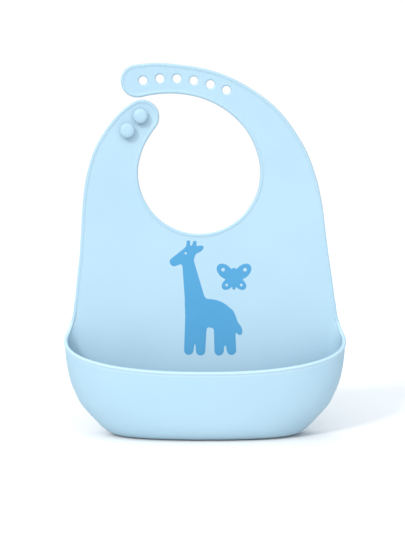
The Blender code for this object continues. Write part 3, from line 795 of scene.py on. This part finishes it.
def giraffe():
    """A plain standing giraffe in profile, made of ellipses and bars."""
    return union([
        ellipse(5.5, 96.5, 17.5, 11.5, -12),              # body
        ellipse(-6.5, 100.0, 9.0, 12.0, 12),              # chest
        capsule(-7.5, 104.0, -14.0, 140.0, 8.6, 4.6),     # neck
        capsule(-13.5, 145.0, -25.0, 138.5, 5.6, 3.6),    # head
        ellipse(-5.6, 148.6, 5.0, 2.5, 28),               # ear
        capsule(-13.8, 148, -13.4, 154.6, 1.3, 1.5),      # horns
        capsule(-9.8, 148, -8.2, 154.2, 1.3, 1.5),
        capsule(-11.0, 96, -13.2, 66.3, 5.0, 3.8),        # legs
        capsule(-3.0, 92, -3.6, 65.8, 4.8, 3.8),
        capsule(12.5, 90, 11.5, 65.8, 5.4, 3.8),
        capsule(19.0, 92, 21.6, 66.3, 5.2, 3.8),
        capsule(21.0, 98, 27.2, 86.0, 1.5, 1.1),          # tail and its tuft
        ellipse(28.0, 82.6, 2.4, 3.9, 10),
    ], GIRAFFE_BLEND)


def butterfly():
    """A plain four-winged butterfly."""
    return union([
        ellipse(16.2, 130.6, 7.8, 5.2, -42),              # upper wings
        ellipse(30.8, 130.6, 7.8, 5.2, 42),
        ellipse(18.4, 120.4, 5.6, 3.9, 42),               # lower wings
        ellipse(28.6, 120.4, 5.6, 3.9, -42),
        capsule(23.5, 132, 23.5, 117.0, 1.8, 1.3),        # body
    ], BUTTERFLY_BLEND)


def crossings(distance, low, high, cell):
    """Where the zero line crosses a grid of triangles: the places by grid edge, and which edges follow which."""
    nx = int(math.ceil((high[0] - low[0]) / cell)) + 1
    nz = int(math.ceil((high[1] - low[1]) / cell)) + 1
    xs = low[0] + np.arange(nx) * cell
    zs = low[1] + np.arange(nz) * cell
    value = distance(*np.meshgrid(xs, zs, indexing="ij")) + 1e-7
    links, spots = {}, {}
    inside = value < 0
    mixed = inside[:-1, :-1].astype(int) + inside[1:, :-1] + inside[:-1, 1:] + inside[1:, 1:]
    for i, j in zip(*np.nonzero((mixed > 0) & (mixed < 4))):
        for tri in (((i, j), (i + 1, j), (i + 1, j + 1)), ((i, j), (i + 1, j + 1), (i, j + 1))):
            found = []
            for k in range(3):
                a, b = sorted((tri[k], tri[(k + 1) % 3]))
                if inside[a] != inside[b]:
                    t = value[a] / (value[a] - value[b])
                    x = xs[a[0]] + (b[0] - a[0]) * t * cell
                    spots[a, b] = np.array((x, zs[a[1]] + (b[1] - a[1]) * t * cell))
                    found.append((a, b))
            if found:
                links.setdefault(found[0], []).append(found[1])
                links.setdefault(found[1], []).append(found[0])
    return spots, links


def longest_loop(links):
    """The longest chain of grid edges that follow each other."""
    loops, left = [], set(links)
    while left:
        loop = [min(left)]
        left.discard(loop[0])
        while True:
            onward = [n for n in links[loop[-1]] if n in left]
            if not onward:
                break
            loop.append(onward[0])
            left.discard(onward[0])
        loops.append(loop)
    return max(loops, key=len)


def trace(distance, window, cell):
    """The longest closed outline where the distance is zero, with even, slightly smoothed points."""
    spots, links = crossings(distance, *window, cell)
    outline = np.array([spots[key] for key in longest_loop(links)])
    step = np.linalg.norm(np.roll(outline, -1, axis=0) - outline, axis=1)
    run = np.concatenate([[0], np.cumsum(step)])
    closed = np.vstack([outline, outline[:1]])
    count = int(run[-1] / (cell * OUTLINE_STEP))
    at = np.arange(count) * run[-1] / count
    even = np.stack([np.interp(at, run, closed[:, 0]), np.interp(at, run, closed[:, 1])], axis=1)
    for _ in range(2):
        even = even * 0.5 + (np.roll(even, 1, axis=0) + np.roll(even, -1, axis=0)) * 0.25
    return even


def film(name, outline, holes):
    """A thin film of ink on the sheet, with a soft edge."""
    area = (outline[:, 0] * np.roll(outline[:, 1], -1) - np.roll(outline[:, 0], -1) * outline[:, 1]).sum()
    loops = [outline if area > 0 else outline[::-1]] + [hole[::-1] for hole in holes]
    shape = Shape()
    tops = []
    inset, top = FILM_EDGE[-1]
    for loop in loops:
        run = unit(np.roll(loop, -1, axis=0) - np.roll(loop, 1, axis=0))
        into = np.stack([-run[:, 1], run[:, 0]], axis=1)
        rows = [shape.add(flat(loop + into * s, h)) for s, h in FILM_EDGE]
        shape.strip([[row[k] for row in rows] for k in list(range(len(loop))) + [0]])
        tops.append(loop + into * inset)
    for outlines, h in ((tops, top), (loops, FILM_FOOT)):
        shape.patch(*flat_fill(outlines, h))
    return shape.finish(name, sharp=60)


def flat_fill(loops, h):
    """Points and triangles of a level face of the film."""
    points, faces = fill(loops, lattice_in(loops[0], FILM_SPACING, FILM_REACH, loops[1:]))
    return flat(points, h), faces


# ---------------------------------------------------------------- materials

def node(tree, kind, at, **values):
    """Adds a shader node with the given settings."""
    made = tree.nodes.new(kind)
    made.location = at
    for name, value in values.items():
        setattr(made, name, value)
    return made


def noise(tree, vector, scale, detail, rough, at):
    """A noise texture's value."""
    made = node(tree, "ShaderNodeTexNoise", at)
    made.inputs["Scale"].default_value = scale
    made.inputs["Detail"].default_value = detail
    made.inputs["Roughness"].default_value = rough
    tree.links.new(vector, made.inputs["Vector"])
    return made.outputs["Fac"]


def map_range(tree, value, low, high, at):
    """A noise value spread between two limits."""
    made = node(tree, "ShaderNodeMapRange", at)
    made.inputs["From Min"].default_value, made.inputs["From Max"].default_value = NOISE_RANGE
    made.inputs["To Min"].default_value = low
    made.inputs["To Max"].default_value = high
    tree.links.new(value, made.inputs["Value"])
    return made.outputs["Result"]


def bump(tree, height, strength, distance, at, under=None):
    """A bump in metres, laid over another one if it is given."""
    made = node(tree, "ShaderNodeBump", at)
    made.inputs["Strength"].default_value = strength
    made.inputs["Distance"].default_value = distance
    tree.links.new(height, made.inputs["Height"])
    if under:
        tree.links.new(under, made.inputs["Normal"])
    return made.outputs["Normal"]


def moulded(name, dark, light, rough, grain):
    """Satin moulded silicone: faint colour drift, uneven polish and a fine skin."""
    mat = bpy.data.materials.new(name)
    mat.use_nodes = True
    tree = mat.node_tree
    shader = tree.nodes["Principled BSDF"]
    place = node(tree, "ShaderNodeTexCoord", (-1300, 0)).outputs["Object"]
    drift = noise(tree, place, scale=14.0, detail=3.0, rough=0.5, at=(-1050, 300))
    mix = node(tree, "ShaderNodeMix", (-500, 300), data_type="RGBA")
    mix.inputs["A"].default_value = dark
    mix.inputs["B"].default_value = light
    tree.links.new(map_range(tree, drift, 0.0, 1.0, (-780, 300)), mix.inputs["Factor"])
    tree.links.new(mix.outputs["Result"], shader.inputs["Base Color"])
    polish = noise(tree, place, scale=60.0, detail=4.0, rough=0.6, at=(-1050, 0))
    tree.links.new(map_range(tree, polish, rough - 0.05, rough + 0.06, (-780, 0)), shader.inputs["Roughness"])
    skin = noise(tree, place, scale=2600.0, detail=2.0, rough=0.5, at=(-1050, -300))
    ripple = noise(tree, place, scale=38.0, detail=2.0, rough=0.4, at=(-1050, -560))
    fine = bump(tree, skin, grain, 0.00012, (-500, -300))
    tree.links.new(bump(tree, ripple, 0.25, 0.0006, (-260, -300), fine), shader.inputs["Normal"])
    shader.inputs["IOR"].default_value = 1.42
    return mat


def plain(name, colour):
    """A matt material without any shine."""
    mat = bpy.data.materials.new(name)
    mat.use_nodes = True
    shader = mat.node_tree.nodes["Principled BSDF"]
    shader.inputs["Base Color"].default_value = colour
    shader.inputs["Roughness"].default_value = 1.0
    shader.inputs["Specular IOR Level"].default_value = 0.0
    return mat


silicone = moulded("sky_blue_silicone", (0.315, 0.462, 0.555, 1), (0.335, 0.476, 0.565, 1), 0.46, 0.25)
# the lip's silicone is the sheet's silicone painted lighter: a painted highlight where light catches the top of the
# bead; its lower roughness is its own
rim_silicone_painted_highlight = moulded("lip_silicone_painted_highlight", (0.365, 0.505, 0.60, 1), (0.385, 0.52, 0.61, 1), 0.42, 0.25)
stud_silicone = moulded("stud_silicone", (0.31, 0.457, 0.55, 1), (0.33, 0.471, 0.56, 1), 0.42, 0.25)
ink = moulded("dark_blue_ink", (0.045, 0.235, 0.43, 1), (0.056, 0.253, 0.45, 1), 0.55, 0.5)


# ---------------------------------------------------------------- the pieces

def dressed(obj, mat, nodes):
    """Gives a piece its material, and hides the CAD nodes that it stands for."""
    obj.data.materials.append(mat)
    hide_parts(*nodes)


def bent(obj, mat, first, second, band, *nodes, slot="silicone"):
    """A piece given its material, with its place baked into its mesh."""
    dressed(obj, mat, nodes)
    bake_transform(obj)


def carried(obj, mat, body, *nodes):
    """A piece that moves with one body."""
    dressed(obj, mat, nodes)
    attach(obj, body)


def level_band(heights):
    """A band across the sheet between two heights."""
    return [(0.0, SHEET_Y * MM, z * MM) for z in heights]


def strap_band(bend):
    """The band on both sides of a strap's bend line."""
    (x, z), (ax, az) = bend
    return [((x - az * v) * MM, SHEET_Y * MM, (z + ax * v) * MM) for v in (-STRAP_BAND, STRAP_BAND)]


low, high = marks["low"], marks["high"]
middle_marks, tip_marks = marks["middle"], marks["tip"]
fold, shoulder = level_band(FOLD_BAND), level_band(SHOULDER_BAND)

bowl, lip = bowl_and_lip()
bent(bowl, silicone, "pocket", "apron", fold, "back_panel", "catcher_pocket")
# the lip carries the lighter silicone, a painted highlight
carried(lip, rim_silicone_painted_highlight, "pocket", "pocket_lip")

apron = sheet_piece("apron", [
    ("edge", low[0], high[0]), ("seam", high[0], high[1]), ("edge", high[1], high[2]),
    ("seam", high[2], high[3]), ("edge", high[3], low[1]), ("seam", low[1], low[0]),
], APRON_SPACING)
carried(apron, silicone, "apron", "upper_apron")

left_strap = sheet_piece("left_strap", [("edge", high[0], high[1]), ("seam", high[1], high[0])])
bent(left_strap, silicone, "apron", "stud_strap", shoulder, "stud_strap")

right_root = sheet_piece("right_strap_root", [
    ("edge", high[2], middle_marks[0]), ("seam", middle_marks[0], middle_marks[1]),
    ("edge", middle_marks[1], high[3]), ("seam", high[3], high[2]),
])
bent(right_root, silicone, "apron", "hole_strap_root", shoulder, "hole_strap_root")

right_middle = sheet_piece("right_strap_middle", [
    ("edge", middle_marks[0], tip_marks[0]), ("seam", tip_marks[0], tip_marks[1]),
    ("edge", tip_marks[1], middle_marks[1]), ("seam", middle_marks[1], middle_marks[0]),
], STRAP_SPACING)
bent(right_middle, silicone, "hole_strap_root", "hole_strap_middle", strap_band(MIDDLE_BEND), "hole_strap_middle")

right_tip = sheet_piece("right_strap_tip", [
    ("edge", tip_marks[0], tip_marks[1]), ("seam", tip_marks[1], tip_marks[0]),
], STRAP_SPACING, hole_centres())
bent(right_tip, silicone, "hole_strap_middle", "hole_strap_tip", strap_band(TIP_BEND), "hole_strap_tip")

for node_name, x, z in STUDS:
    carried(stud(node_name + "_button", x, z), stud_silicone, "stud_strap", node_name)

giraffe_line = trace(giraffe(), GIRAFFE_WINDOW, GIRAFFE_CELL)
giraffe_film = film("giraffe_print", giraffe_line, [circle(*GIRAFFE_EYE)])
bent(giraffe_film, ink, "pocket", "apron", fold, "giraffe_print_head", "giraffe_print_body", slot="ink")

butterfly_line = trace(butterfly(), BUTTERFLY_WINDOW, BUTTERFLY_CELL)
butterfly_film = film("butterfly_film", butterfly_line, [circle(*spot) for spot in WING_SPOTS])
bent(butterfly_film, ink, "pocket", "apron", fold, "butterfly_print", slot="ink")


# ---------------------------------------------------------------- floor, light and camera

def aimed(name, data, towards, at=(0.0, 0.0, 0.0)):
    """Puts a light or camera at a place, looking away from the given direction."""
    obj = bpy.data.objects.new(name, data)
    obj.location = at
    obj.rotation_mode = "QUATERNION"
    obj.rotation_quaternion = Vector(towards).to_track_quat("Z", "Y")
    bpy.context.scene.collection.objects.link(obj)
    return obj


def sun_light(name, towards, strength, degrees):
    data = bpy.data.lights.new(name, "SUN")
    data.energy = strength
    data.angle = math.radians(degrees)
    data.color = SUN_COLOUR
    aimed(name, data, towards)


def spot_light(name, at, to, power, degrees):
    data = bpy.data.lights.new(name, "SPOT")
    data.energy = power
    data.spot_size = math.radians(degrees)
    data.spot_blend = 1.0
    data.shadow_soft_size = LOW_FRONT_SIZE
    aimed(name, data, Vector(at) - Vector(to), at).visible_camera = False


def studio_world():
    """A cool, even light all round that the camera sees as white."""
    world = bpy.data.worlds.new("studio")
    world.use_nodes = True
    tree = world.node_tree
    surround = tree.nodes["Background"]
    surround.inputs["Color"].default_value = AMBIENT_COLOUR
    surround.inputs["Strength"].default_value = AMBIENT
    backdrop = node(tree, "ShaderNodeBackground", (0, -200))
    backdrop.inputs["Color"].default_value = (1.0, 1.0, 1.0, 1)
    ray = node(tree, "ShaderNodeLightPath", (-300, 300))
    chosen = node(tree, "ShaderNodeMixShader", (250, 0))
    tree.links.new(ray.outputs["Is Camera Ray"], chosen.inputs[0])
    tree.links.new(surround.outputs[0], chosen.inputs[1])
    tree.links.new(backdrop.outputs[0], chosen.inputs[2])
    tree.links.new(chosen.outputs[0], tree.nodes["World Output"].inputs["Surface"])
    return world


floor_mesh = bpy.data.meshes.new("studio_floor")
corners = ((-FLOOR_HALF, -FLOOR_HALF), (FLOOR_HALF, -FLOOR_HALF), (FLOOR_HALF, FLOOR_HALF), (-FLOOR_HALF, FLOOR_HALF))
floor_mesh.from_pydata([(x, y, 0) for x, y in corners], [], [(0, 1, 2, 3)])
floor_mesh.materials.append(plain("white_floor", FLOOR_COLOUR))
floor = bpy.data.objects.new("studio_floor", floor_mesh)
bpy.context.scene.collection.objects.link(floor)

bpy.context.scene.world = studio_world()
for lamp in LIGHTS:
    sun_light(*lamp)
spot_light(*LOW_FRONT)

lens = bpy.data.cameras.new("camera")
lens.lens = LENS
lens.sensor_width = SENSOR
lens.clip_end = CLIP_END
bpy.context.scene.camera = aimed(
    "camera", lens, Vector(CAMERA_AT) - Vector(CAMERA_TO), Vector(CAMERA_AT) * MM)
bpy.context.scene.view_settings.view_transform = "Standard"
